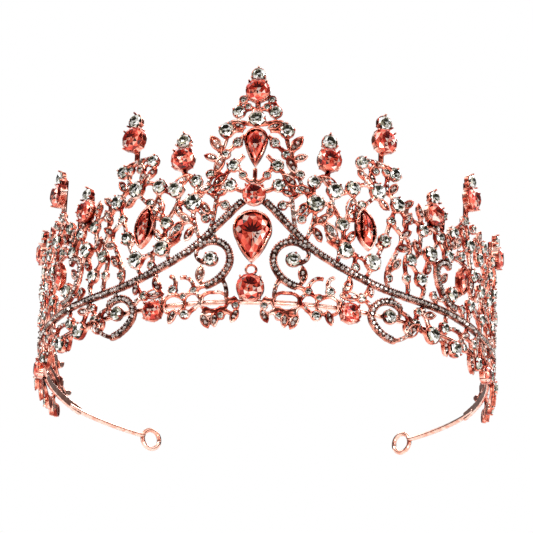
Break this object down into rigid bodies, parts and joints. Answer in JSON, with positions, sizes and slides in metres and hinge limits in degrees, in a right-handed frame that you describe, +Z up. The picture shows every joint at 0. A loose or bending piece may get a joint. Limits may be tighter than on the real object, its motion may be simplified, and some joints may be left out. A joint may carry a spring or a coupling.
{
  "type": "bridal tiara",
  "caption": "Open-backed tiara worn on the head: filigree castings on a wire band, set with pear, navette and round stones, with an eye loop at each end for ribbon or pins.",
  "frame": {"origin": "centre of the overall box, on the plane that the lower edge stands on", "axes": "+Z up, +X to the wearer's left, which is the right side seen from the front; the front faces -Y"},
  "size_m": [0.1526, 0.1364, 0.0849],
  "materials": {
    "rose_gold_cast": "polished rose-gold plate on cast alloy",
    "rose_gold_wire": "drawn wire and strip, rose-gold plate",
    "coral_glass": "faceted, foil backed",
    "clear_glass": "faceted, foil backed",
    "pave_glass": "tiny faceted stones, foil backed"
  },
  "bodies": {
    "root": {"apex_setting": "rose_gold_cast", "apex_stone": "coral_glass", "centre_pear_setting": "rose_gold_cast", "centre_pear_stone": "coral_glass", "clear_stones_large": "clear_glass", "clear_stones_small": "clear_glass", "crest_openwork": "rose_gold_cast", "drop_setting": "rose_gold_cast", "drop_stone": "coral_glass", "finial_1_left": "rose_gold_cast", "finial_1_right": "rose_gold_cast", "finial_2_left": "rose_gold_cast", "finial_2_right": "rose_gold_cast", "finial_3_left": "rose_gold_cast", "finial_3_right": "rose_gold_cast", "finial_4_left": "rose_gold_cast", "finial_4_right": "rose_gold_cast", "finial_5_left": "rose_gold_cast", "finial_5_right": "rose_gold_cast", "finial_centre": "rose_gold_cast", "finial_coral_stones": "coral_glass", "finial_crystal_stones": "clear_glass", "front_hem_left": "rose_gold_cast", "front_hem_right": "rose_gold_cast", "front_openwork_left": "rose_gold_cast", "front_openwork_right": "rose_gold_cast", "headband_rail": "rose_gold_wire", "inner_scroll_left": "rose_gold_cast", "inner_scroll_right": "rose_gold_cast", "leaf_and_stem_stones": "pave_glass", "lower_coral_stones": "coral_glass", "lower_round_setting_left": "rose_gold_cast", "lower_round_setting_right": "rose_gold_cast", "navette_setting_left": "rose_gold_cast", "navette_setting_right": "rose_gold_cast", "navette_stones": "coral_glass", "outer_scroll_left": "rose_gold_cast", "outer_scroll_right": "rose_gold_cast", "rear_hem_left": "rose_gold_cast", "rear_hem_right": "rose_gold_cast", "rear_openwork_left": "rose_gold_cast", "rear_openwork_right": "rose_gold_cast", "rear_strip_left": "rose_gold_wire", "rear_strip_right": "rose_gold_wire", "scroll_pave_stones": "pave_glass", "side_hem_left": "rose_gold_cast", "side_hem_right": "rose_gold_cast", "side_navette_setting_left": "rose_gold_cast", "side_navette_setting_right": "rose_gold_cast", "side_openwork_left": "rose_gold_cast", "side_openwork_right": "rose_gold_cast", "side_round_setting_left": "rose_gold_cast", "side_round_setting_right": "rose_gold_cast", "swoop_band_left": "rose_gold_cast", "swoop_band_right": "rose_gold_cast", "swoop_pave_stones": "pave_glass", "tail_wire_left": "rose_gold_wire", "tail_wire_right": "rose_gold_wire", "upper_pear_setting": "rose_gold_cast", "upper_pear_stone": "coral_glass"}
  },
  "joints": []
}
